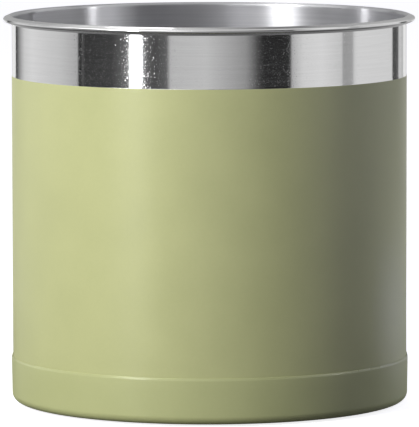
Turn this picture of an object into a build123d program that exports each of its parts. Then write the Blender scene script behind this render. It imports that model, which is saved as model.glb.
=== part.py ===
"""A round utensil holder that turns on its base.

The holder is a drawn stainless cup with a rolled rim and a colour coat on its wall.
It stands in a shallow coated pan that holds a cast ring weight and a ball bearing.
The frame has +Z up along the turning axis, with its origin on the table under the axis.
"""

import os
from math import cos, radians, sin, sqrt, tan

from build123d import *

# Driving sizes, in millimetres. A name that ends in angle or sweep is in degrees.

# Holder: the drawn cup, its rolled rim and its coat
overall_height = 173.9
body_diameter = 177.0
shell_sheet = 0.6
shell_corner_radius = 5.5
rim_reach = 3.85
rim_crown_radius = 1.6
rim_edge_radius = 1.0
rim_face_angle = 22.0
rim_end_gap = 0.6
bare_band_height = 27.0
coat_stop_height = 0.9
coat_thickness = 0.15
coat_edge_radius = 0.1
coat_hidden_height = 2.0

# Base pan: the drawn tray that the holder turns in
pan_height = 20.5
pan_sheet = 0.4
pan_lip_gap = 0.2
pan_wall_lean = 0.25
pan_corner_radius = 3.7
pan_rim_width = 3.45
pan_recess_depth = 1.0
pan_recess_run = 1.0
pan_recess_bend_radius = 0.6
pan_lip_height = 4.0
pan_lip_bend_radius = 20.0
pan_lip_edge_radius = 0.15

# Rubber feet: push-in feet under the pan
foot_count = 4
foot_diameter = 14.0
foot_inset = 1.5
foot_height = 1.6
foot_edge_radius = 0.5
foot_neck_diameter = 5.0
foot_barb_diameter = 6.4
foot_barb_tip_diameter = 3.0
foot_barb_height = 3.5
foot_hole_gap = 0.05

# Base weight: the cast ring on the pan's floor
weight_thickness = 7.0
weight_pan_gap = 0.5
weight_race_gap = 5.3
weight_edge_chamfer = 1.0
weight_pocket_gap = 0.8

# Screws: one low-headed type, in three lengths
screw_diameter = 4.0
screw_head_diameter = 8.5
screw_head_height = 1.0
screw_head_edge_radius = 0.4
screw_socket_width = 2.5
screw_socket_depth = 0.6
screw_thread_gap = 0.03
screw_hole_gap = 0.15
screw_end_gap = 0.2
weight_screw_count = 4
weight_screw_grip = 5.0
race_screw_count = 4

# Ball bearing: two pressed races, a ring of balls and their cage
ball_count = 20
ball_diameter = 6.0
ball_ring_inset = 2.0
ball_play = 0.05
race_sheet = 1.0
race_groove_gap = 0.5
race_groove_margin = 0.3
race_shoulder_radius = 0.8
race_shoulder_width = 3.0
race_cage_gap = 0.45
race_slope_run = 4.0
race_bend_radius = 1.2
race_collar_wall = 1.2
race_collar_height = 3.0
race_access_gap = 0.75
cage_width = 12.0
cage_thickness = 2.0
cage_pocket_gap = 0.15

# Swivel plate: the disc welded under the holder's floor
swivel_plate_thickness = 2.0
swivel_plate_margin = 4.3

# Pivot: the stud that centres the bearing and holds the two halves together
stud_diameter = 6.0
stud_thread_diameter = 5.0
stud_thread_chamfer = 0.5
stud_flange_diameter = 16.0
stud_flange_thickness = 0.8
stud_end_reach = 0.4
bush_wall = 1.5
bush_flange_diameter = 18.0
bush_flange_thickness = 0.9
bush_end_reach = 0.4
bush_running_gap = 0.05
bush_seat_gap = 0.02
pivot_axial_play = 0.1
hub_margin = 2.0
washer_diameter = 14.0
washer_thickness = 0.8
washer_hole_gap = 0.1
spring_diameter = 12.0
spring_sheet = 0.4
spring_rise = 0.35
nut_width = 8.0
nut_height = 2.8
nut_chamfer = 0.4

# Worked-out sizes: radii
body_radius = body_diameter / 2
steel_radius = body_radius - coat_thickness
wall_mid_radius = steel_radius - shell_sheet / 2
crown_mid_radius = rim_crown_radius - shell_sheet / 2
edge_mid_radius = rim_edge_radius - shell_sheet / 2
rim_face = radians(rim_face_angle)
rim_tip_radius = steel_radius + rim_reach - rim_edge_radius + edge_mid_radius / sin(rim_face)
rim_end_radius = steel_radius + rim_end_gap
ball_radius = ball_diameter / 2
screw_radius = screw_diameter / 2
bush_outer_radius = stud_diameter / 2 + bush_running_gap + bush_wall
pan_lip_mid_radius = body_radius + pan_lip_gap + pan_sheet / 2
pan_foot_mid_radius = pan_lip_mid_radius - pan_wall_lean
pan_recess_radius = pan_foot_mid_radius - pan_corner_radius - pan_rim_width
foot_ring_radius = pan_recess_radius - foot_inset - foot_diameter / 2
weight_outer_radius = pan_recess_radius - weight_pan_gap
hub_radius = bush_flange_diameter / 2 + hub_margin
hub_foot_radius = hub_radius + race_slope_run
ball_ring_radius = (hub_foot_radius + weight_outer_radius) / 2 - ball_ring_inset

# Worked-out heights, from the table up through the bearing to the holder's floor
pan_floor_top = foot_height + pan_sheet
pan_rim_bottom = foot_height - pan_recess_depth
pan_lip_top = pan_rim_bottom + pan_height
groove_mid_height = pan_floor_top + race_groove_gap + race_sheet / 2
ball_height = groove_mid_height + race_sheet / 2 + ball_play + ball_radius
swivel_plate_bottom = 2 * ball_height - pan_floor_top
shell_bottom = swivel_plate_bottom + swivel_plate_thickness
crown_height = overall_height - rim_crown_radius
rim_crown_corner = crown_height + crown_mid_radius * (1 + sin(rim_face)) / cos(rim_face)
rim_tip_height = rim_crown_corner - (rim_tip_radius - wall_mid_radius) * tan(rim_face)
rim_end_height = rim_tip_height - (rim_tip_radius - rim_end_radius) * tan(rim_face)
coat_top = overall_height - bare_band_height
coat_bottom = pan_lip_top - coat_hidden_height

# Worked-out sizes of the race's middle line: a vee groove with a rounded bottom, and its shoulders
groove_bend_radius = ball_radius + race_groove_margin + race_sheet / 2
vee_drop = ball_height - groove_mid_height + groove_bend_radius * (sqrt(2) - 1)
shoulder_drop = cage_thickness / 2 + race_cage_gap + race_sheet / 2
shoulder_inner_radius = ball_ring_radius - (vee_drop - shoulder_drop)
shoulder_outer_radius = ball_ring_radius + (vee_drop - shoulder_drop)
race_slope_top_radius = shoulder_inner_radius - race_shoulder_width
race_flange_outer_radius = race_slope_top_radius - race_slope_run
race_skirt_radius = shoulder_outer_radius + race_shoulder_width
race_outer_radius = race_skirt_radius + race_sheet / 2
race_screw_ring_radius = (hub_foot_radius + race_flange_outer_radius) / 2

# Worked-out sizes of what lies round the race
swivel_plate_radius = race_outer_radius + swivel_plate_margin
weight_inner_radius = race_outer_radius + weight_race_gap
weight_screw_ring_radius = (weight_inner_radius + weight_outer_radius) / 2

# Worked-out heights, from the swivel plate down the pivot
stud_flange_bottom = swivel_plate_bottom - stud_flange_thickness
bush_top = stud_flange_bottom - pivot_axial_play
hub_top = bush_top - bush_flange_thickness
bush_bottom = hub_top - race_sheet - bush_end_reach
washer_top = bush_bottom - pivot_axial_play
washer_bottom = washer_top - washer_thickness
nut_top = washer_bottom - spring_sheet - spring_rise
nut_bottom = nut_top - nut_height
stud_bottom = nut_bottom - stud_end_reach
stud_shoulder_height = bush_bottom + pivot_axial_play

# Angles that set the screws between the feet and the access holes between the screws
foot_angle = 0.0
weight_screw_angle = foot_angle + 180 / weight_screw_count
upper_screw_angle = 0.0
lower_screw_angle = upper_screw_angle + 180 / race_screw_count

os.makedirs("parts", exist_ok=True)


def race_path(inner_points, flip):
    """Points and bend radii of a race's middle line, from its inner edge to its upright skirt.

    flip is 1 for the race on the pan and -1 for its mirror image over the balls.
    inner_points run along the race's flange, inside the slope up to the groove's inner shoulder.
    """
    shoulder_height = ball_height - flip * shoulder_drop
    points = [
        *inner_points,
        (race_slope_top_radius, shoulder_height),
        (shoulder_inner_radius, shoulder_height),
        (ball_ring_radius, ball_height - flip * vee_drop),
        (shoulder_outer_radius, shoulder_height),
        (race_skirt_radius, shoulder_height),
        (race_skirt_radius, ball_height - flip * (ball_height - pan_floor_top)),
    ]
    radii = [race_bend_radius] * len(inner_points)
    radii += [race_shoulder_radius, groove_bend_radius, race_shoulder_radius, race_bend_radius]
    return points, radii


def low_head_screws(seat_height, ring_radius, count, angle, grip):
    """A ring of low-headed socket screws that point up, with their heads under seat_height."""
    places = PolarLocations(ring_radius, count, angle)
    with BuildPart() as screws:
        with BuildSketch(Plane.XY.offset(seat_height - screw_head_height)):
            with places:
                Circle(screw_head_diameter / 2)
        extrude(amount=screw_head_height)
        fillet(screws.edges().group_by(Axis.Z)[0], radius=screw_head_edge_radius)
        with BuildSketch(Plane.XY.offset(seat_height)):
            with places:
                Circle(screw_radius)
        extrude(amount=grip)
        with BuildSketch(Plane.XY.offset(seat_height - screw_head_height)):
            with places:
                RegularPolygon(screw_socket_width / 2, 6, major_radius=False)
        extrude(amount=screw_socket_depth, mode=Mode.SUBTRACT)
    return screws


# Holder shell: one drawn sheet, from the floor up the wall and round the rolled rim, with a stop for the coat
with BuildPart() as holder_shell:
    with BuildSketch(Plane.XZ):
        with BuildLine():
            shell_floor_mid = shell_bottom + shell_sheet / 2
            FilletPolyline(
                (0, shell_floor_mid),
                (wall_mid_radius, shell_floor_mid),
                (wall_mid_radius, rim_crown_corner),
                (rim_tip_radius, rim_tip_height),
                (rim_end_radius, rim_end_height),
                radius=[
                    shell_corner_radius - shell_sheet / 2,
                    crown_mid_radius,
                    edge_mid_radius,
                ],
            )
        trace(line_width=shell_sheet)
        with BuildLine():
            coat_stop_top = coat_top + coat_stop_height
            TangentArc(
                (steel_radius, coat_stop_top),
                (body_radius, coat_top),
                tangent=(0, -1),
            )
            Polyline(
                (body_radius, coat_top),
                (wall_mid_radius, coat_top),
                (wall_mid_radius, coat_stop_top),
                (steel_radius, coat_stop_top),
            )
        make_face()
    revolve(axis=Axis.Z)
holder_shell.part.label = "holder_shell"
export_step(holder_shell.part, "parts/holder_shell.step")

# Colour coat: the thin coloured skin on the holder's wall, with a softened top edge
with BuildPart() as colour_coat:
    with BuildSketch(Plane.XY.offset(coat_bottom)):
        Circle(body_radius)
        Circle(steel_radius, mode=Mode.SUBTRACT)
    extrude(amount=coat_top - coat_bottom)
    coat_rim = colour_coat.edges().group_by(Axis.Z)[-1].sort_by(SortBy.RADIUS)[-1]
    fillet(coat_rim, radius=coat_edge_radius)
colour_coat.part.label = "colour_coat"
export_step(colour_coat.part, "parts/colour_coat.step")

# Swivel plate: a flat disc under the holder's floor, tapped for the upper race's screws
with BuildPart() as swivel_plate:
    with BuildSketch(Plane.XY.offset(swivel_plate_bottom)):
        Circle(swivel_plate_radius)
        with PolarLocations(race_screw_ring_radius, race_screw_count, upper_screw_angle):
            Circle(screw_radius + screw_thread_gap, mode=Mode.SUBTRACT)
    extrude(amount=swivel_plate_thickness)
swivel_plate.part.label = "swivel_plate"
export_step(swivel_plate.part, "parts/swivel_plate.step")

# Upper race: the pressed ring over the balls, screwed to the swivel plate by its inner flange
with BuildPart() as upper_race:
    upper_flange_mid = swivel_plate_bottom - race_sheet / 2
    with BuildSketch(Plane.XZ):
        with BuildLine():
            upper_points, upper_radii = race_path(
                [
                    (hub_foot_radius, upper_flange_mid),
                    (race_flange_outer_radius, upper_flange_mid),
                ],
                -1,
            )
            FilletPolyline(*upper_points, radius=upper_radii)
        trace(line_width=race_sheet)
    revolve(axis=Axis.Z)
    with BuildSketch(Plane.XY.offset(swivel_plate_bottom)):
        with PolarLocations(race_screw_ring_radius, race_screw_count, upper_screw_angle):
            Circle(screw_radius + screw_hole_gap)
    extrude(amount=-race_sheet, mode=Mode.SUBTRACT)
upper_race.part.label = "upper_race"
export_step(upper_race.part, "parts/upper_race.step")

# Upper race screws: up through the race's flange into the swivel plate
upper_race_screws = low_head_screws(
    swivel_plate_bottom - race_sheet,
    race_screw_ring_radius,
    race_screw_count,
    upper_screw_angle,
    race_sheet + swivel_plate_thickness - screw_end_gap,
)
upper_race_screws.part.label = "upper_race_screws"
export_step(upper_race_screws.part, "parts/upper_race_screws.step")

# Bearing balls: a ring of separate steel balls between the two races
with BuildPart() as bearing_balls:
    with Locations((0, 0, ball_height)):
        with PolarLocations(ball_ring_radius, ball_count):
            Sphere(ball_radius)
bearing_balls.part.label = "bearing_balls"
export_step(bearing_balls.part, "parts/bearing_balls.step")

# Ball cage: a flat ring whose round pockets keep the balls apart
with BuildPart() as ball_cage:
    with BuildSketch(Plane.XY.offset(ball_height)):
        Circle(ball_ring_radius + cage_width / 2)
        Circle(ball_ring_radius - cage_width / 2, mode=Mode.SUBTRACT)
    extrude(amount=cage_thickness / 2, both=True)
    with Locations((0, 0, ball_height)):
        with PolarLocations(ball_ring_radius, ball_count):
            Sphere(ball_radius + cage_pocket_gap, mode=Mode.SUBTRACT)
ball_cage.part.label = "ball_cage"
export_step(ball_cage.part, "parts/ball_cage.step")

# Lower race: the pressed ring on the pan's floor, with a raised hub for the pivot's bush
with BuildPart() as lower_race:
    lower_flange_mid = pan_floor_top + race_sheet / 2
    hub_mid = hub_top - race_sheet / 2
    with BuildSketch(Plane.XZ):
        with BuildLine():
            lower_points, lower_radii = race_path(
                [
                    (bush_outer_radius + bush_seat_gap, hub_mid),
                    (hub_radius, hub_mid),
                    (hub_foot_radius, lower_flange_mid),
                    (race_flange_outer_radius, lower_flange_mid),
                ],
                1,
            )
            FilletPolyline(*lower_points, radius=lower_radii)
        trace(line_width=race_sheet)
    revolve(axis=Axis.Z)
    with BuildSketch(Plane.XY.offset(pan_floor_top)):
        with PolarLocations(race_screw_ring_radius, race_screw_count, lower_screw_angle):
            Circle(screw_radius + race_collar_wall)
    extrude(amount=race_collar_height)
    with BuildSketch(Plane.XY.offset(pan_floor_top)):
        with PolarLocations(race_screw_ring_radius, race_screw_count, lower_screw_angle):
            Circle(screw_radius + screw_thread_gap)
    extrude(amount=race_collar_height, mode=Mode.SUBTRACT)
    with BuildSketch(Plane.XY.offset(pan_floor_top)):
        with PolarLocations(race_screw_ring_radius, race_screw_count, upper_screw_angle):
            Circle(screw_head_diameter / 2 + race_access_gap)
    extrude(amount=race_sheet, mode=Mode.SUBTRACT)
lower_race.part.label = "lower_race"
export_step(lower_race.part, "parts/lower_race.step")

# Lower race screws: up through the pan's floor into the race's tapped collars
lower_race_screws = low_head_screws(
    foot_height,
    race_screw_ring_radius,
    race_screw_count,
    lower_screw_angle,
    pan_sheet + race_collar_height,
)
lower_race_screws.part.label = "lower_race_screws"
export_step(lower_race_screws.part, "parts/lower_race_screws.step")

# Pivot stud: a flanged stud welded to the swivel plate, stepped down to its thread
with BuildPart() as pivot_stud:
    with BuildSketch(Plane.XY.offset(swivel_plate_bottom)):
        Circle(stud_flange_diameter / 2)
    extrude(amount=-stud_flange_thickness)
    with BuildSketch(Plane.XY.offset(stud_flange_bottom)):
        Circle(stud_diameter / 2)
    extrude(amount=stud_shoulder_height - stud_flange_bottom)
    with BuildSketch(Plane.XY.offset(stud_shoulder_height)):
        Circle(stud_thread_diameter / 2)
    extrude(amount=stud_bottom - stud_shoulder_height)
    chamfer(pivot_stud.edges().group_by(Axis.Z)[0], length=stud_thread_chamfer)
pivot_stud.part.label = "pivot_stud"
export_step(pivot_stud.part, "parts/pivot_stud.step")

# Pivot bush: a flanged plastic bearing pressed down into the lower race's hub
with BuildPart() as pivot_bush:
    with BuildSketch(Plane.XY.offset(hub_top)):
        Circle(bush_flange_diameter / 2)
    extrude(amount=bush_flange_thickness)
    with BuildSketch(Plane.XY.offset(hub_top)):
        Circle(bush_outer_radius)
    extrude(amount=bush_bottom - hub_top)
    with BuildSketch(Plane.XY.offset(bush_bottom)):
        Circle(stud_diameter / 2 + bush_running_gap)
    extrude(amount=bush_top - bush_bottom, mode=Mode.SUBTRACT)
pivot_bush.part.label = "pivot_bush"
export_step(pivot_bush.part, "parts/pivot_bush.step")

# Thrust washer: the flat washer under the bush
with BuildPart() as thrust_washer:
    with BuildSketch(Plane.XY.offset(washer_bottom)):
        Circle(washer_diameter / 2)
        Circle(stud_thread_diameter / 2 + washer_hole_gap, mode=Mode.SUBTRACT)
    extrude(amount=washer_thickness)
thrust_washer.part.label = "thrust_washer"
export_step(thrust_washer.part, "parts/thrust_washer.step")

# Disc spring: a coned washer that draws the holder down on the balls
with BuildPart() as disc_spring:
    with BuildSketch(Plane.XZ):
        with BuildLine():
            spring_hole_radius = stud_thread_diameter / 2 + washer_hole_gap
            Polyline(
                (spring_hole_radius, nut_top),
                (spring_hole_radius, nut_top + spring_sheet),
                (spring_diameter / 2, washer_bottom),
                (spring_diameter / 2, washer_bottom - spring_sheet),
                close=True,
            )
        make_face()
    revolve(axis=Axis.Z)
disc_spring.part.label = "disc_spring"
export_step(disc_spring.part, "parts/disc_spring.step")

# Lock nut: a thin hexagon nut on the stud's thread
with BuildPart() as lock_nut:
    with BuildSketch(Plane.XY.offset(nut_bottom)):
        RegularPolygon(nut_width / 2, 6, major_radius=False)
    extrude(amount=nut_height)
    nut_corner_radius = nut_width / sqrt(3)
    with BuildSketch(Plane.XZ):
        with BuildLine():
            nut_cone_drop = nut_chamfer * tan(radians(30))
            Polyline(
                (0, nut_bottom),
                (nut_corner_radius - nut_chamfer, nut_bottom),
                (nut_corner_radius, nut_bottom + nut_cone_drop),
                (nut_corner_radius, nut_top),
                (0, nut_top),
                close=True,
            )
        make_face()
    revolve(axis=Axis.Z, mode=Mode.INTERSECT)
    with BuildSketch(Plane.XY.offset(nut_bottom)):
        Circle(stud_thread_diameter / 2 + screw_thread_gap)
    extrude(amount=nut_height, mode=Mode.SUBTRACT)
lock_nut.part.label = "lock_nut"
export_step(lock_nut.part, "parts/lock_nut.step")

# Base pan: a drawn tray with an upright lip, its floor raised inside a narrow rim for feet and screw heads
with BuildPart() as base_pan:
    pan_floor_mid = foot_height + pan_sheet / 2
    pan_rim_mid = pan_rim_bottom + pan_sheet / 2
    with BuildSketch(Plane.XZ):
        with BuildLine():
            FilletPolyline(
                (0, pan_floor_mid),
                (pan_recess_radius, pan_floor_mid),
                (pan_recess_radius + pan_recess_run, pan_rim_mid),
                (pan_foot_mid_radius, pan_rim_mid),
                (pan_lip_mid_radius, pan_lip_top - pan_lip_height),
                (pan_lip_mid_radius, pan_lip_top),
                radius=[
                    pan_recess_bend_radius,
                    pan_recess_bend_radius,
                    pan_corner_radius - pan_sheet / 2,
                    pan_lip_bend_radius,
                ],
            )
        trace(line_width=pan_sheet)
    revolve(axis=Axis.Z)
    fillet(base_pan.edges().group_by(Axis.Z)[-1], radius=pan_lip_edge_radius)
    with BuildSketch(Plane.XY.offset(foot_height)):
        with PolarLocations(foot_ring_radius, foot_count, foot_angle):
            Circle(foot_neck_diameter / 2 + foot_hole_gap)
        with PolarLocations(weight_screw_ring_radius, weight_screw_count, weight_screw_angle):
            Circle(screw_radius + screw_hole_gap)
        with PolarLocations(race_screw_ring_radius, race_screw_count, lower_screw_angle):
            Circle(screw_radius + screw_hole_gap)
    extrude(amount=pan_sheet, mode=Mode.SUBTRACT)
base_pan.part.label = "base_pan"
export_step(base_pan.part, "parts/base_pan.step")

# Base weight: a cast ring with pockets over the feet and tapped holes for its screws
with BuildPart() as base_weight:
    with BuildSketch(Plane.XY.offset(pan_floor_top)):
        Circle(weight_outer_radius)
        Circle(weight_inner_radius, mode=Mode.SUBTRACT)
    extrude(amount=weight_thickness)
    chamfer(base_weight.edges().filter_by(GeomType.CIRCLE), length=weight_edge_chamfer)
    with BuildSketch(Plane.XY.offset(pan_floor_top)):
        with PolarLocations(foot_ring_radius, foot_count, foot_angle):
            Circle(foot_barb_diameter / 2 + weight_pocket_gap)
        with PolarLocations(weight_screw_ring_radius, weight_screw_count, weight_screw_angle):
            Circle(screw_radius + screw_thread_gap)
    extrude(amount=weight_thickness, mode=Mode.SUBTRACT)
base_weight.part.label = "base_weight"
export_step(base_weight.part, "parts/base_weight.step")

# Weight screws: up through the pan's floor into the weight
weight_screws = low_head_screws(
    foot_height,
    weight_screw_ring_radius,
    weight_screw_count,
    weight_screw_angle,
    pan_sheet + weight_screw_grip,
)
weight_screws.part.label = "weight_screws"
export_step(weight_screws.part, "parts/weight_screws.step")

# Rubber feet: a flat disc under the pan with a neck and a barb pushed up through its floor
with BuildPart() as rubber_feet:
    with BuildSketch():
        with PolarLocations(foot_ring_radius, foot_count, foot_angle):
            Circle(foot_diameter / 2)
    extrude(amount=foot_height)
    fillet(rubber_feet.edges().group_by(Axis.Z)[0], radius=foot_edge_radius)
    with BuildSketch(Plane.XY.offset(foot_height)):
        with PolarLocations(foot_ring_radius, foot_count, foot_angle):
            Circle(foot_neck_diameter / 2)
    extrude(amount=pan_sheet)
    with Locations((0, 0, pan_floor_top + foot_barb_height / 2)):
        with PolarLocations(foot_ring_radius, foot_count, foot_angle):
            Cone(foot_barb_diameter / 2, foot_barb_tip_diameter / 2, foot_barb_height)
rubber_feet.part.label = "rubber_feet"
export_step(rubber_feet.part, "parts/rubber_feet.step")
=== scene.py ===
"""The looks of a round utensil holder that turns on its base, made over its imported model.

Lengths are in metres, in the model's own frame: +Z up along the turning axis, origin on the table.
"""

import bpy
import numpy as np
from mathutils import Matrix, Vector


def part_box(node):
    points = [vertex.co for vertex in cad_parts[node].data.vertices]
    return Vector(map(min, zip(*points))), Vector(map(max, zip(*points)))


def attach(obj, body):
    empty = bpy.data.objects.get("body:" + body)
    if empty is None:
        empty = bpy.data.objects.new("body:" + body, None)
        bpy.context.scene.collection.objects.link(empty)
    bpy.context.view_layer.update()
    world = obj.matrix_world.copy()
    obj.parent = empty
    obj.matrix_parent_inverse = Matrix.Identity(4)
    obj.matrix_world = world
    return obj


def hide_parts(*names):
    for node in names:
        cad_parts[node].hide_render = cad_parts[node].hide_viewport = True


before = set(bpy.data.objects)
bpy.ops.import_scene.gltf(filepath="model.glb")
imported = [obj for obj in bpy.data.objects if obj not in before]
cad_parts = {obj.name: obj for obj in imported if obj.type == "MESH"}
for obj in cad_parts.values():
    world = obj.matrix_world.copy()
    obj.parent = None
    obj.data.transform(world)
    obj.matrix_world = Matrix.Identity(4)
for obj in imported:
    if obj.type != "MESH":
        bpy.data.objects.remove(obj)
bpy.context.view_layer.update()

# Rubber feet. Four black moulded feet under the pan, each held by a barb that is pulled up
# through a hole in the pan's floor. The mould leaves a fine matt grain and a little bloom.


class Wire:
    """One socket of a finish's node tree. Sums on wires add Math nodes and give the result's wire."""

    def __init__(self, tree, socket=None):
        self.tree = tree
        self.socket = socket

    def add(self, kind, settings=None, inputs=None, output=0):
        """Adds one node: its settings first, then the value or wire of each input, and gives an output."""
        node = self.tree.nodes.new(kind)
        for name, value in (settings or {}).items():
            if name == "stops":
                stops = node.color_ramp.elements
                while len(stops) < len(value):
                    stops.new(1.0)
                for stop, (position, colour) in zip(stops, value):
                    stop.position = position
                    stop.color = (*colour, 1.0)
            else:
                setattr(node, name, value)
        for name, value in (inputs or {}).items():
            if isinstance(value, Wire):
                self.tree.links.new(value.socket, node.inputs[name])
            else:
                node.inputs[name].default_value = value
        return Wire(self.tree, node.outputs[output] if node.outputs else None)

    def other(self, output):
        """Another output of the node that this wire comes from."""
        return Wire(self.tree, self.socket.node.outputs[output])

    def sum(self, operation, *values):
        """One Math node on wires and numbers."""
        return self.add("ShaderNodeMath", {"operation": operation}, dict(enumerate(values)))

    def __add__(self, value):
        return self.sum("ADD", self, value)

    def __sub__(self, value):
        return self.sum("SUBTRACT", self, value)

    def __rsub__(self, value):
        return self.sum("SUBTRACT", value, self)

    def __mul__(self, value):
        return self.sum("MULTIPLY", self, value)

    def __pow__(self, value):
        return self.sum("POWER", self, value)

    __radd__ = __add__
    __rmul__ = __mul__


def new_finish(name):
    """An empty material, the wire that adds its nodes, and the wire of its Object coordinates."""
    finish = bpy.data.materials.new(name)
    finish.use_nodes = True
    finish.node_tree.nodes.clear()
    wire = Wire(finish.node_tree)
    return finish, wire, wire.add("ShaderNodeTexCoord", output="Object")


def surface(wire, **inputs):
    """Ends a finish with a Principled surface; an underscore in an input's name stands for a space."""
    named = {name.replace("_", " "): value for name, value in inputs.items()}
    skin = wire.add("ShaderNodeBsdfPrincipled", None, named)
    wire.add("ShaderNodeOutputMaterial", None, {"Surface": skin})


def dress(finish, *nodes):
    """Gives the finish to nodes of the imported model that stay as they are."""
    for node in nodes:
        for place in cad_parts[node].material_slots:
            place.material = finish


def moulded_rubber():
    """Moulded black rubber: fine noise for the mould's grain, and broad noise for the greyer bloom."""
    finish, wire, place = new_finish("moulded_rubber")
    grain = wire.add("ShaderNodeTexNoise", None, {"Vector": place, "Scale": 2600.0, "Detail": 2.0})
    bloom = wire.add("ShaderNodeTexNoise", None, {"Vector": place, "Scale": 140.0, "Detail": 4.0})
    black = [(0.30, (0.026, 0.026, 0.028)), (0.75, (0.052, 0.052, 0.054))]
    colour = wire.add("ShaderNodeValToRGB", {"stops": black}, {"Fac": bloom})
    bump = wire.add("ShaderNodeBump", None, {"Strength": 0.5, "Distance": 0.00004, "Height": grain})
    surface(wire, Base_Color=colour, Roughness=0.74 + 0.18 * grain, Normal=bump)
    return finish


dress(moulded_rubber(), "rubber_feet")

# Base pan. A shallow tray drawn from thin steel and powder coated pale green: a raised floor inside
# a narrow rim, a soft corner, and a wall that leans out a little to the upright lip round the holder.

pan_low, pan_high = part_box("base_pan")
pan_sheet = 0.0004
pan_recess = 0.0010
pan_floor_radius = 0.0815
pan_step = 0.0010
pan_step_bend = 0.0006
pan_corner = 0.0037
pan_lean = 0.00025
pan_lean_bend = 0.020
pan_lip = 0.0040
pan_taper = 0.0010
pan_taper_bend = 0.0020
pan_edge = 0.00022
# The pan's film is the wall coat's powder made about five percent darker: painted shade on the low band
# round the foot.
pan_thin_shaded = (0.395, 0.415, 0.185)
pan_deep_shaded = (0.420, 0.440, 0.199)
melt_start = 0.0010
melt_end = 0.0006


def straight(start, end, near=0.0001):
    """A straight run of a middle line, as rows of radius, height and heading.

    Points near both ends keep the shading flat along the run.
    """
    start, end = np.array(start), np.array(end)
    reach = np.hypot(*(end - start))
    close = min(near, reach / 4)
    shares = np.array([close, reach / 2, reach - close]) / reach
    heading = np.arctan2(*(end - start)[::-1])
    points = start + shares[:, None] * (end - start)
    return np.column_stack([points, np.full(len(points), heading)])


def bend(centre, radius, heading, turn, step=np.radians(6.0)):
    """A round bend about a centre, as rows of radius, height and heading.

    The heading goes evenly through the turn, and the point lies square to it: on the right of the
    centre in a left turn, and on its left in a right turn.
    """
    count = int(np.ceil(abs(turn) / step)) + 1
    headings = heading + turn * np.linspace(0.0, 1.0, count)
    side = np.sign(turn) * radius
    points = np.column_stack([np.sin(headings), -np.cos(headings)]) * side + np.array(centre)
    return np.column_stack([points, headings])


def bent_line(corners, radii):
    """A middle line of straight runs with a round bend at each inner corner, tangent to both runs."""
    corners = np.array(corners)
    runs = np.diff(corners, axis=0)
    headings = np.arctan2(runs[:, 1], runs[:, 0])
    rows = []
    start = corners[0]
    for corner, radius, before, after in zip(corners[1:-1], radii, headings[:-1], headings[1:]):
        turn = (after - before + np.pi) % (2 * np.pi) - np.pi
        cut = radius * np.tan(abs(turn) / 2)
        forward = np.array([np.cos(before), np.sin(before)])
        left = np.array([-forward[1], forward[0]])
        begin = corner - cut * forward
        rows += [straight(start, begin), bend(begin + np.sign(turn) * radius * left, radius, before, turn)]
        start = rows[-1][-1, :2]
    rows.append(straight(start, corners[-1]))
    first = np.array([[*corners[0], headings[0]]])
    last = np.array([[*corners[-1], headings[-1]]])
    return np.concatenate([first, *rows, last])


def pressed_sheet(middle, thickness):
    """The closed outline of a sheet: its middle line moved half a thickness to the right, a half-round
    edge of 30 degree steps at the far end, and the middle line moved as far to the left, back to the
    start. The thickness is one value or a value for each row."""
    half = np.broadcast_to(thickness, len(middle))[:, None] / 2
    across = np.column_stack([np.sin(middle[:, 2]), -np.cos(middle[:, 2])]) * half
    round_edge = middle[-1, 2] + np.radians(np.linspace(-75.0, 75.0, 6))
    edge = middle[-1, :2] + np.column_stack([np.cos(round_edge), np.sin(round_edge)]) * half[-1]
    return np.concatenate([middle[:, :2] + across, edge, (middle[:, :2] - across)[::-1]])


def turned(name, outline, finishes, parts=None, sides=480):
    """A turned piece: each outline point, at radius r and height z, goes round the axis through the
    angle a as (r cos a, r sin a, z). The outline runs anticlockwise with the axis on its left, which
    points the faces outwards. Ends that lie on the axis become poles, and another outline joins its
    own start. parts gives each outline point's place in the list of finishes.
    """
    outline = np.array(outline)
    has_poles = np.isclose(outline[0, 0], 0.0)
    rings = outline[1:-1] if has_poles else outline
    angle = 2 * np.pi * np.arange(sides) / sides
    radius, height = rings[:, :1], rings[:, 1:]
    grid = np.stack([radius * np.cos(angle), radius * np.sin(angle), height + 0 * angle], axis=-1)
    number = np.arange(len(rings) * sides).reshape(len(rings), sides)
    beside = np.roll(number, -1, axis=1)
    above = np.roll(number, -1, axis=0)
    beside_above = np.roll(beside, -1, axis=0)
    last = -1 if has_poles else None
    faces = np.stack([number, beside, beside_above, above], axis=-1)[:last].reshape(-1, 4).tolist()
    points = grid.reshape(-1, 3)
    if has_poles:
        start, end = np.full(sides, len(points)), np.full(sides, len(points) + 1)
        points = np.concatenate([points, [[0, 0, outline[0, 1]], [0, 0, outline[-1, 1]]]])
        faces += np.stack([start, beside[0], number[0]], axis=-1).tolist()
        faces += np.stack([number[-1], beside[-1], end], axis=-1).tolist()
    mesh = bpy.data.meshes.new(name)
    mesh.from_pydata(points.tolist(), [], faces)
    mesh.polygons.foreach_set("use_smooth", np.ones(len(faces), bool))
    for finish in finishes:
        mesh.materials.append(finish)
    if parts is not None:
        inner = np.array(parts)[1:-1] if has_poles else np.array(parts)
        places = np.repeat(inner[:last], sides)
        ends = [np.repeat(parts[0], sides), np.repeat(parts[-1], sides)] if has_poles else []
        mesh.polygons.foreach_set("material_index", np.concatenate([places, *ends]).astype(np.int32))
    mesh.update()
    piece = bpy.data.objects.new(name, mesh)
    bpy.context.scene.collection.objects.link(piece)
    return piece


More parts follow.
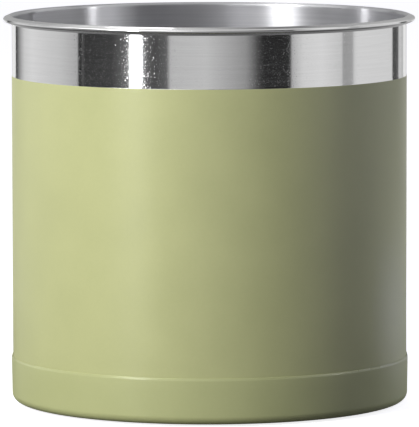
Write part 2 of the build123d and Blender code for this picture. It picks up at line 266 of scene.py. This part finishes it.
def satin_coat(name, thin, deep, edge=None):
    """Powder coat: a film whose colour varies from thin to deep, with fine orange peel and a satin gloss.
    It melts smooth on a thin edge, so the gloss is higher just below the height of such an edge."""
    finish, wire, place = new_finish(name)
    flow = wire.add("ShaderNodeTexNoise", None, {"Vector": place, "Scale": 45.0, "Detail": 5.0})
    peel = wire.add("ShaderNodeTexNoise", None, {"Vector": place, "Scale": 750.0, "Detail": 2.0})
    film = [(0.30, thin), (0.70, deep)]
    colour = wire.add("ShaderNodeValToRGB", {"stops": film}, {"Fac": 0.75 * flow + 0.25 * peel})
    dullness = 0.36 + 0.10 * flow
    if edge is not None:
        height = wire.add("ShaderNodeSeparateXYZ", None, {"Vector": place}, output="Z")
        smooth = wire.add(
            "ShaderNodeMapRange",
            {"interpolation_type": "SMOOTHSTEP"},
            {"Value": height, "From Min": edge - melt_start, "From Max": edge - melt_end},
        )
        dullness = dullness - 0.12 * smooth
    bump = wire.add("ShaderNodeBump", None, {"Strength": 0.35, "Distance": 0.00003, "Height": peel})
    surface(wire, Base_Color=colour, Roughness=dullness, Specular_IOR_Level=1.0, Normal=bump)
    return finish


pan_lip_radius = pan_high.x - pan_sheet / 2
pan_foot = pan_low.z + pan_sheet / 2
pan_middle = bent_line(
    [
        (0.0, pan_foot + pan_recess),
        (pan_floor_radius, pan_foot + pan_recess),
        (pan_floor_radius + pan_step, pan_foot),
        (pan_lip_radius - pan_lean, pan_foot),
        (pan_lip_radius, pan_high.z - pan_lip),
        (pan_lip_radius, pan_high.z - pan_taper),
        (pan_lip_radius - (pan_sheet - pan_edge) / 2, pan_high.z - pan_edge / 2),
    ],
    [pan_step_bend, pan_step_bend, pan_corner - pan_sheet / 2, pan_lean_bend, pan_taper_bend],
)
pan_thickness = np.interp(pan_middle[:, 1], [pan_high.z - pan_taper, pan_high.z], [pan_sheet, pan_edge])
pan_coat = satin_coat("pan_coat", pan_thin_shaded, pan_deep_shaded, pan_high.z)
pan = turned("coated_pan", pressed_sheet(pan_middle, pan_thickness), [pan_coat])
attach(pan, "base")
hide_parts("base_pan")

# Base weight. A ring of grey iron, cast in sand and dipped in black lacquer, that lies on the pan's
# floor and keeps the holder from tipping. The sand's grain shows through the lacquer.


def lacquered_casting():
    """Black lacquer over cast iron: fine noise for the sand's grain, and cells for its small pits."""
    finish, wire, place = new_finish("lacquered_casting")
    sand = wire.add("ShaderNodeTexNoise", None, {"Vector": place, "Scale": 900.0, "Detail": 5.0})
    pits = wire.add("ShaderNodeTexVoronoi", None, {"Vector": place, "Scale": 260.0})
    black = [(0.35, (0.012, 0.012, 0.013)), (0.80, (0.060, 0.058, 0.056))]
    colour = wire.add("ShaderNodeValToRGB", {"stops": black}, {"Fac": sand})
    relief = 0.7 * sand + 0.3 * pits
    bump = wire.add("ShaderNodeBump", None, {"Strength": 0.8, "Distance": 0.0002, "Height": relief})
    surface(wire, Base_Color=colour, Roughness=0.34 + 0.3 * sand, Normal=bump)
    return finish


dress(lacquered_casting(), "base_weight")

# Screws, races, plate and pivot. Pressed and turned steel with bright zinc plate, whose crystals
# leave a faint blotched sheen. The screws hold the weight and the races, and the stud is welded.


def zinc_plate():
    """Bright zinc: smooth cells for the crystals, and broad noise for the bluish to straw-coloured haze."""
    finish, wire, place = new_finish("zinc_plate")
    spangle = wire.add("ShaderNodeTexVoronoi", {"feature": "SMOOTH_F1"}, {"Vector": place, "Scale": 420.0})
    haze = wire.add("ShaderNodeTexNoise", None, {"Vector": place, "Scale": 95.0, "Detail": 4.0})
    sheen = [(0.25, (0.52, 0.54, 0.57)), (0.55, (0.60, 0.61, 0.62)), (0.85, (0.64, 0.62, 0.57))]
    colour = wire.add("ShaderNodeValToRGB", {"stops": sheen}, {"Fac": 0.6 * haze + 0.4 * spangle})
    bump = wire.add("ShaderNodeBump", None, {"Strength": 0.2, "Distance": 0.00002, "Height": haze})
    surface(wire, Base_Color=colour, Metallic=1.0, Roughness=0.26 + 0.2 * spangle, Normal=bump)
    return finish


dress(
    zinc_plate(),
    "weight_screws",
    "lower_race_screws",
    "upper_race_screws",
    "lower_race",
    "upper_race",
    "swivel_plate",
    "pivot_stud",
    "thrust_washer",
    "lock_nut",
)

# Disc spring. A coned washer of hardened spring steel that draws the holder down on the balls,
# left dark from the oil that it was tempered in.


def tempered_steel():
    """Tempered spring steel: noise varies the dark scale's colour and gloss."""
    finish, wire, place = new_finish("tempered_steel")
    scale = wire.add("ShaderNodeTexNoise", None, {"Vector": place, "Scale": 500.0, "Detail": 4.0})
    brown = [(0.3, (0.17, 0.16, 0.155)), (0.7, (0.30, 0.285, 0.27))]
    colour = wire.add("ShaderNodeValToRGB", {"stops": brown}, {"Fac": scale})
    surface(wire, Base_Color=colour, Metallic=1.0, Roughness=0.3 + 0.22 * scale)
    return finish


dress(tempered_steel(), "disc_spring")

# Bearing balls. Twenty ground and lapped steel balls that roll between the two races,
# bright under a thin smear of grease.


def lapped_steel():
    """Lapped bearing steel: noise for the thin grease, which dulls the mirror a little."""
    finish, wire, place = new_finish("lapped_steel")
    grease = wire.add("ShaderNodeTexNoise", None, {"Vector": place, "Scale": 300.0, "Detail": 3.0})
    bright = [(0.35, (0.66, 0.65, 0.63)), (0.65, (0.76, 0.76, 0.77))]
    colour = wire.add("ShaderNodeValToRGB", {"stops": bright}, {"Fac": grease})
    surface(wire, Base_Color=colour, Metallic=1.0, Roughness=0.05 + 0.1 * grease)
    return finish


dress(lapped_steel(), "bearing_balls")

# Ball cage and bush. Natural nylon: the cage's pockets keep the balls apart, and the flanged bush
# is pressed into the lower race's hub to carry the stud. Moulded nylon is cloudy and waxy.


def natural_nylon():
    """Natural nylon: broad noise for the cloudy cream colour and the waxy skin."""
    finish, wire, place = new_finish("natural_nylon")
    cloud = wire.add("ShaderNodeTexNoise", None, {"Vector": place, "Scale": 160.0, "Detail": 3.0})
    cream = [(0.3, (0.70, 0.675, 0.60)), (0.7, (0.77, 0.755, 0.70))]
    colour = wire.add("ShaderNodeValToRGB", {"stops": cream}, {"Fac": cloud})
    bump = wire.add("ShaderNodeBump", None, {"Strength": 0.2, "Distance": 0.00003, "Height": cloud})
    surface(wire, Base_Color=colour, Roughness=0.40 + 0.16 * cloud, Normal=bump)
    return finish


dress(natural_nylon(), "ball_cage", "pivot_bush")

# Holder. A deep cup drawn from stainless sheet, its top edge rolled outwards and pressed to a narrow
# edge. The outside is polished and has a low ridge that the coat stops at. The inside is satin brushed.

cup_low, cup_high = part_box("holder_shell")
coat_low, coat_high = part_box("colour_coat")
cup_sheet = 0.0006
cup_corner = 0.0055
rim_reach = 0.00385
rim_crown = 0.0016
rim_edge = 0.0010
rim_slope = np.radians(22.0)
rim_end = 0.0006
stop_depth = 0.00009
stop_height = 0.0009
stop_below = 0.00005
stop_above = 0.0002
weld_count = 6
weld_ring = 0.040
weld_mark = 0.0016
weld_fade = 0.0034


def polished_steel():
    """Polished outside: q = height + radius runs up the wall and over the rim, so noise that is long
    round the axis and short along q makes lines that follow the polishing belt."""
    finish, wire, place = new_finish("polished_steel")
    x = wire.add("ShaderNodeSeparateXYZ", None, {"Vector": place})
    y, z = x.other("Y"), x.other("Z")
    q = z + (x * x + y * y) ** 0.5
    lines_at = wire.add("ShaderNodeCombineXYZ", None, {"X": 30.0 * x, "Y": 30.0 * y, "Z": 1500.0 * q})
    lines = wire.add("ShaderNodeTexNoise", None, {"Vector": lines_at, "Scale": 1.0, "Detail": 4.0})
    specks = wire.add("ShaderNodeTexNoise", None, {"Vector": place, "Scale": 1500.0, "Detail": 1.0})
    steel = [(0.30, (0.785, 0.784, 0.787)), (0.70, (0.825, 0.824, 0.827))]
    colour = wire.add("ShaderNodeValToRGB", {"stops": steel}, {"Fac": lines})
    pits = wire.add(
        "ShaderNodeMapRange",
        {"interpolation_type": "SMOOTHSTEP"},
        {"Value": specks, "From Min": 0.635, "From Max": 0.80},
    )
    relief = 0.045 * lines - pits
    bump = wire.add("ShaderNodeBump", None, {"Strength": 1.0, "Distance": 0.000011, "Height": relief})
    surface(
        wire,
        Base_Color=colour,
        Metallic=1.0,
        Roughness=0.06 + 0.06 * lines,
        Anisotropic=0.6,
        Anisotropic_Rotation=0.25,
        Normal=bump,
    )
    return finish


def brushed_steel():
    """Brushed inside: the same lines, but coarser and duller, and in rings on the floor, where a ring
    of spot welds to the plate below has left faint straw-coloured marks."""
    finish, wire, place = new_finish("brushed_steel")
    x = wire.add("ShaderNodeSeparateXYZ", None, {"Vector": place})
    y, z = x.other("Y"), x.other("Z")
    q = z + (x * x + y * y) ** 0.5
    lines_at = wire.add("ShaderNodeCombineXYZ", None, {"X": 22.0 * x, "Y": 22.0 * y, "Z": 1100.0 * q})
    lines = wire.add("ShaderNodeTexNoise", None, {"Vector": lines_at, "Scale": 1.0, "Detail": 6.0})
    steel = [(0.25, (0.590, 0.590, 0.612)), (0.75, (0.690, 0.690, 0.712))]
    brushed = wire.add("ShaderNodeValToRGB", {"stops": steel}, {"Fac": lines})
    turn = y.sum("ARCTAN2", y, x) * (weld_count / (2 * np.pi))
    round_way = (turn - turn.sum("ROUND", turn)) * (2 * np.pi * weld_ring / weld_count)
    out_way = (x * x + y * y) ** 0.5 - weld_ring
    above_floor = z - (cup_low.z + cup_sheet)
    reach = (round_way * round_way + out_way * out_way) ** 0.5 + above_floor
    weld = wire.add(
        "ShaderNodeMapRange",
        {"interpolation_type": "SMOOTHSTEP"},
        {"Value": reach, "From Min": weld_mark, "From Max": weld_fade, "To Min": 0.55, "To Max": 0.0},
    )
    straw = (0.46, 0.40, 0.31, 1.0)
    colour = wire.add("ShaderNodeMix", {"data_type": "RGBA"}, {0: weld, 6: brushed, 7: straw}, output=2)
    bump = wire.add("ShaderNodeBump", None, {"Strength": 0.5, "Distance": 0.00001, "Height": lines})
    surface(
        wire,
        Base_Color=colour,
        Metallic=1.0,
        Roughness=0.27 + 0.07 * lines,
        Anisotropic=1.0,
        Anisotropic_Rotation=0.25,
        Normal=bump,
    )
    return finish


def coat_stop(wall, low, depth, height):
    """The ridge's outline, from its foot up: a flat underside, then a hollow round that runs out into
    the wall, tangent to it. A round of radius R = (height^2 + depth^2) / (2 depth) does both. A point
    on the wall below and one above keep the shading flat there."""
    radius = (height**2 + depth**2) / (2 * depth)
    share = np.array([1.0, 0.985, 0.8, 0.6, 0.4, 0.2, 0.0])
    lean = np.arcsin(height / radius) * share
    hollow = np.column_stack([wall + radius * (1 - np.cos(lean)), low + height - radius * np.sin(lean)])
    below = [(wall, low - stop_below), (wall, low)]
    above = [(wall, low + height + stop_above)]
    return np.concatenate([below, hollow, above])


steel_radius = cup_high.x - rim_reach
wall_radius = steel_radius - cup_sheet / 2
cup_floor = cup_low.z + cup_sheet / 2
crown_radius, edge_radius = rim_crown - cup_sheet / 2, rim_edge - cup_sheet / 2
crown_corner = cup_high.z - rim_crown + crown_radius * (1 + np.sin(rim_slope)) / np.cos(rim_slope)
tip_radius = cup_high.x - rim_edge + edge_radius / np.sin(rim_slope)
tip_height = crown_corner - (tip_radius - wall_radius) * np.tan(rim_slope)
end_radius = steel_radius + rim_end
end_height = tip_height - (tip_radius - end_radius) * np.tan(rim_slope)
cup_middle = bent_line(
    [
        (0.0, cup_floor),
        (wall_radius, cup_floor),
        (wall_radius, crown_corner),
        (tip_radius, tip_height),
        (end_radius, end_height),
    ],
    [cup_corner - cup_sheet / 2, crown_radius, edge_radius],
)
cup_outline = pressed_sheet(cup_middle, cup_sheet)
ridge = coat_stop(steel_radius, coat_high.z, stop_depth, stop_height)
ridge_place = np.argmax(cup_outline[:, 1] > coat_high.z)
cup_outline = np.insert(cup_outline, ridge_place, ridge, axis=0)
cup_parts = (np.arange(len(cup_outline)) >= np.argmax(cup_outline[:, 1])).astype(int)
cup = turned("steel_cup", cup_outline, [polished_steel(), brushed_steel()], cup_parts)
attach(cup, "holder")
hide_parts("holder_shell")

# Colour coat. The same pale green powder, baked on the cup's wall from inside the pan's lip up to a
# ridge below the rim, where the film ends in a soft step.

coat_film = 0.00014
coat_round = 0.0001
coat_near = 0.0001
coat_thin = (0.415, 0.430, 0.193)
coat_deep = (0.447, 0.461, 0.209)
coat_inner = coat_high.x - coat_film
coat_turn = np.radians(np.linspace(0.0, 90.0, 7))
coat_step = np.column_stack(
    [
        coat_high.x + coat_round * (np.cos(coat_turn) - 1),
        coat_high.z + coat_round * (np.sin(coat_turn) - 1),
    ]
)
coat_outline = np.array(
    [
        (coat_inner, coat_low.z),
        (coat_high.x, coat_low.z),
        (coat_high.x, coat_low.z + coat_near),
        (coat_high.x, (coat_low.z + coat_high.z) / 2),
        (coat_high.x, coat_high.z - coat_round - coat_near),
        *coat_step,
        (coat_inner, coat_high.z),
    ]
)
coat = turned("wall_coat", coat_outline, [satin_coat("wall_coat", coat_thin, coat_deep)])
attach(coat, "holder")
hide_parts("colour_coat")

# Table and background. A plain pale table runs out to a white background. A lens or a polished
# surface sees them white, and the table darkens only where the holder's shadow lies.


def seen_directly(wire):
    """1 for rays from the lens, a polished surface or a clear one, and 0 for soft light."""
    ray = wire.add("ShaderNodeLightPath", output="Is Camera Ray")
    glossy_or_clear = ray.sum("MAXIMUM", ray.other("Is Glossy Ray"), ray.other("Is Transmission Ray"))
    return ray.sum("MAXIMUM", ray, glossy_or_clear)


table_reach = 9.0
table_drop = 0.0002
table_corners = table_reach * np.array([[-1, -1, 0], [1, -1, 0], [1, 1, 0], [-1, 1, 0]])
table_mesh = bpy.data.meshes.new("table")
table_mesh.from_pydata((table_corners - [0, 0, table_drop]).tolist(), [], [[0, 1, 2, 3]])
table = bpy.data.objects.new("table", table_mesh)
bpy.context.scene.collection.objects.link(table)

pale, pale_wire, _ = new_finish("pale_table")
pale_glow = pale_wire.add("ShaderNodeEmission", None, {"Color": (1, 1, 1, 1), "Strength": 0.84})
pale_board = pale_wire.add("ShaderNodeBsdfDiffuse", None, {"Color": (0.60, 0.60, 0.60, 1)})
pale_seen = pale_wire.add("ShaderNodeAddShader", None, {0: pale_glow, 1: pale_board})
pale_unseen = pale_wire.add("ShaderNodeBsdfDiffuse", None, {"Color": (0.16, 0.16, 0.157, 1)})
pale_sight = seen_directly(pale_wire)
pale_top = pale_wire.add("ShaderNodeMixShader", None, {0: pale_sight, 1: pale_unseen, 2: pale_seen})
pale_wire.add("ShaderNodeOutputMaterial", None, {"Surface": pale_top})
table_mesh.materials.append(pale)

world = bpy.data.worlds.new("white_background")
world.use_nodes = True
world.node_tree.nodes.clear()
sky = Wire(world.node_tree)
sky_light = sky.add("ShaderNodeBackground", None, {"Color": (0.97, 0.98, 1.35, 1), "Strength": 0.22})
sky_white = sky.add("ShaderNodeBackground", None, {"Color": (1, 1, 1, 1), "Strength": 1.0})
sky_both = sky.add("ShaderNodeMixShader", None, {0: seen_directly(sky), 1: sky_light, 2: sky_white})
sky.add("ShaderNodeOutputWorld", None, {"Surface": sky_both})
bpy.context.scene.world = world

# Studio drum. Grey and black flats stand in a ring round the table, with lights above them, bright
# strips at both sides, grey flags that keep these off the rim, a curtain at the back, and flats over
# and under the holder. They show in reflections only, and the lens doesn't see them.


def studio_card(name, points, levels):
    """A flat that glows with a grey level at each point of a grid and shows only in reflections."""
    rows, columns = points.shape[:2]
    number = np.arange(rows * columns).reshape(rows, columns)
    faces = np.stack([number[:-1, :-1], number[:-1, 1:], number[1:, 1:], number[1:, :-1]], axis=-1)
    mesh = bpy.data.meshes.new(name)
    mesh.from_pydata(points.reshape(-1, 3).tolist(), [], faces.reshape(-1, 4).tolist())
    grey = mesh.attributes.new("grey", "FLOAT", "POINT")
    grey.data.foreach_set("value", (levels + np.zeros((rows, columns))).ravel().astype(np.float32))
    finish, wire, _ = new_finish(name)
    level = wire.add("ShaderNodeAttribute", {"attribute_name": "grey"}, output="Fac")
    glow = wire.add("ShaderNodeEmission", None, {"Color": level, "Strength": 1.0})
    wire.add("ShaderNodeOutputMaterial", None, {"Surface": glow})
    mesh.materials.append(finish)
    card = bpy.data.objects.new(name, mesh)
    card.visible_camera = False
    card.visible_diffuse = False
    card.visible_shadow = False
    bpy.context.scene.collection.objects.link(card)


def standing(ways, distance, heights):
    """A strip of an upright drum round the axis, with a column at each direction and a row at each height.
    Directions are in degrees to the right of the lens, seen from the holder."""
    ways = np.radians(ways)
    plan = np.stack([distance * np.sin(ways), -distance * np.cos(ways), 0 * ways], axis=-1)
    return plan + np.array(heights)[:, None, None] * [0, 0, 1]


def overhead(across, along, height):
    """A level flat over the holder, with a column at each place across and a row at each place along."""
    across, along = np.meshgrid(across, along)
    return np.stack([across, along, height + 0 * across], axis=-1)


def drum_ways(knots, step=4.0):
    """The knots' directions with even steps in between, so that the drum is round."""
    return np.unique(np.concatenate([knots, np.arange(-150.0, 150.0, step)]))


# Each pair is a direction and the grey level there, and the level runs evenly from one to the next.
flats = np.array(
    [
        (-151.0, 0.05), (-148.0, 0.05), (-133.0, 0.70), (-122.0, 0.80), (-94.0, 0.65), (-81.5, 0.50),
        (-79.5, 0.50), (-79.0, 0.02), (-77.0, 0.02), (-76.0, 0.10), (-75.5, 0.10), (-74.5, 0.04),
        (-56.0, 0.05), (-46.0, 0.15), (-36.5, 0.15), (-30.5, 0.07), (-23.5, 0.12), (-21.5, 0.57),
        (-2.0, 0.62), (20.0, 0.33), (27.0, 0.07), (30.5, 0.02), (46.0, 0.02), (47.0, 0.50),
        (54.0, 0.75), (66.0, 0.80), (80.5, 0.63), (81.0, 0.36), (88.5, 0.40), (90.0, 0.70),
        (92.5, 0.77), (130.0, 0.73), (131.0, 0.05), (140.0, 0.12), (142.0, 0.63), (145.0, 0.65),
        (152.0, 0.45),
    ]
)
flat_distance = 1.2
flat_heights = (0.0, 1.3)
flat_ways = drum_ways(flats[:, 0])
studio_card("flats", standing(flat_ways, flat_distance, flat_heights), np.interp(flat_ways, *flats.T))

upper_lights = np.array(
    [
        (-150.0, 0.65), (-133.0, 0.65), (-121.0, 0.40), (-108.0, 0.45), (-96.0, 1.10), (-79.0, 1.65),
        (-71.0, 2.00), (-63.5, 2.40), (-58.5, 5.00), (-56.5, 9.50), (-47.5, 9.50), (-44.0, 6.00),
        (-39.0, 3.10), (-32.0, 2.40), (-21.0, 1.75), (-7.5, 0.60), (6.0, 0.20), (47.5, 0.20),
        (62.0, 0.70), (70.0, 0.90), (80.0, 1.10), (88.0, 0.50), (113.0, 0.65), (137.0, 0.80),
        (150.0, 0.80),
    ]
)
upper_distance = 1.1
upper_heights = (0.42, 1.25)
upper_ways = drum_ways(upper_lights[:, 0])
upper_levels = np.interp(upper_ways, *upper_lights.T)
studio_card("upper_lights", standing(upper_ways, upper_distance, upper_heights), upper_levels)

key_ways = np.linspace(-44.5, -38.0, 8)
key_distance = 1.1
key_heights = (0.0, 0.30)
key_level = 9.0
studio_card("key_strip", standing(key_ways, key_distance, key_heights), key_level)

strip_distance = 1.05
strip_heights = (0.20, 0.50)
left_strip = np.linspace(-113.0, -109.0, 4)
left_strip_level = 7.5
studio_card("left_strip", standing(left_strip, strip_distance, strip_heights), left_strip_level)
right_strip = np.linspace(75.5, 79.0, 4)
right_strip_level = 9.0
studio_card("right_strip", standing(right_strip, strip_distance, strip_heights), right_strip_level)

flag_distance = 0.53
flag_heights = (0.15, 0.37)
left_flag = np.linspace(-111.0, -100.0, 4)
left_flag_level = 0.72
studio_card("left_flag", standing(left_flag, flag_distance, flag_heights), left_flag_level)
right_flag = np.linspace(65.0, 77.0, 4)
right_flag_level = 0.75
studio_card("right_flag", standing(right_flag, flag_distance, flag_heights), right_flag_level)

# The back's levels go by direction at the foot, and by height on each side of the curtain above it.
back_distance = 1.25
back_ways = np.array([152.0, 162.0, 168.0, 192.0, 194.0, 209.0])
back_foot = (0.0, 0.15)
back_foot_levels = np.array([0.85, 0.85, 0.55, 0.55, 0.90, 0.90])
studio_card("back_flat", standing(back_ways, back_distance, back_foot), back_foot_levels)
curtain_heights = (0.15, 0.85, 1.0, 1.15, 1.3)
curtain_right = np.array([0.50, 0.50, 0.45, 0.38, 0.30])
curtain_middle = np.full(len(curtain_heights), 0.42)
curtain_left = np.array([0.43, 0.43, 0.55, 0.88, 0.85])
curtain_sides = np.stack([curtain_right, curtain_middle, curtain_left], axis=1)
curtain_levels = np.repeat(curtain_sides, 2, axis=1)
studio_card("back_curtain", standing(back_ways, back_distance, curtain_heights), curtain_levels)

ceiling_height = 1.32
ceiling_across = np.array([-1.6, -0.08, 0.05, 0.2, 1.6])
ceiling_along = np.array([1.6, 0.8, 0.5, -1.6])
ceiling_back = np.array([0.65, 0.65, 0.42, 0.22, 0.22])
ceiling_front = np.full(len(ceiling_across), 0.70)
ceiling_levels = np.repeat([ceiling_back, ceiling_front], 2, axis=0)
studio_card("ceiling_flat", overhead(ceiling_across, ceiling_along, ceiling_height), ceiling_levels)

back_light_height = 1.31
back_light_across = np.array([-0.34, -0.11])
back_light_along = np.array([1.45, 0.90])
back_light_level = 2.0
studio_card("back_light", overhead(back_light_across, back_light_along, back_light_height), back_light_level)

floor_rings = np.array([0.02, 0.10, 0.25, 0.45, 1.19])[:, None]
floor_levels = np.array([0.06, 0.06, 0.10, 0.35, 0.50])[:, None]
floor_turn = np.radians(np.linspace(0.0, 360.0, 49))
floor_across = floor_rings * np.cos(floor_turn)
floor_along = floor_rings * np.sin(floor_turn)
floor_grid = np.stack([floor_across, floor_along, 0 * floor_across], axis=-1)
studio_card("floor_flat", floor_grid, floor_levels)

# Lamps. A strip in front to the left and a broad soft box beside it light the coat. Two weak lamps
# behind and two small ones close to the foot keep the sides from going dark. The steel shows the drum's
# strips in their place.

lamp_aim = np.array([0.0, 0.0, 0.09])
back_size = (0.8, 0.7)
low_size = (0.16, 0.03)
white = (1.0, 1.0, 1.0)
left_tint = (0.97, 0.98, 1.15)
right_tint = (0.95, 0.96, 1.30)
bluer_tint = (0.95, 0.96, 1.35)


def lamp(name, way, rise, distance, size, power, colour=white):
    """An area lamp that faces the holder from a direction to the right of the lens and a rise above it."""
    way, rise = np.radians(way), np.radians(rise)
    back = np.array([np.sin(way) * np.cos(rise), -np.cos(way) * np.cos(rise), np.sin(rise)])
    light = bpy.data.lights.new(name, "AREA")
    light.shape = "RECTANGLE"
    light.size, light.size_y = size
    light.energy = power
    light.color = colour
    stand = bpy.data.objects.new(name, light)
    stand.location = lamp_aim + distance * back
    stand.rotation_euler = (np.pi / 2 - rise, 0.0, way)
    stand.visible_camera = False
    stand.visible_glossy = False
    bpy.context.scene.collection.objects.link(stand)


lamp("strip_lamp", way=-43.0, rise=22.0, distance=1.1, size=(0.17, 1.0), power=7.5)
lamp("soft_box", way=-50.0, rise=28.0, distance=1.6, size=(1.0, 0.9), power=15.0)
lamp("left_back_lamp", way=-135.0, rise=12.0, distance=1.8, size=back_size, power=3.5, colour=left_tint)
lamp("left_low_lamp", way=-118.0, rise=-16.0, distance=0.26, size=low_size, power=0.08, colour=left_tint)
lamp("right_back_lamp", way=130.0, rise=12.0, distance=1.8, size=back_size, power=3.0, colour=right_tint)
lamp("right_low_lamp", way=118.0, rise=-16.0, distance=0.26, size=low_size, power=0.19, colour=bluer_tint)

# Camera. A long lens in front of the holder and a little above its rim, tilted down at it.

lens_place = (0.0, -2.3869, 0.3268)
lens_tilt = np.radians(5.803)
lens_turn = np.radians(0.107)
lens_length = 450.1
lens_sensor = 36.0
lens_sight = 60.0

lens = bpy.data.cameras.new("camera")
lens.lens = lens_length
lens.sensor_width = lens_sensor
lens.clip_end = lens_sight
camera = bpy.data.objects.new("camera", lens)
camera.location = lens_place
camera.rotation_mode = "ZXY"
camera.rotation_euler = (np.pi / 2 - lens_tilt, 0.0, -lens_turn)
bpy.context.scene.collection.objects.link(camera)
bpy.context.scene.camera = camera
bpy.context.scene.view_settings.view_transform = "Standard"
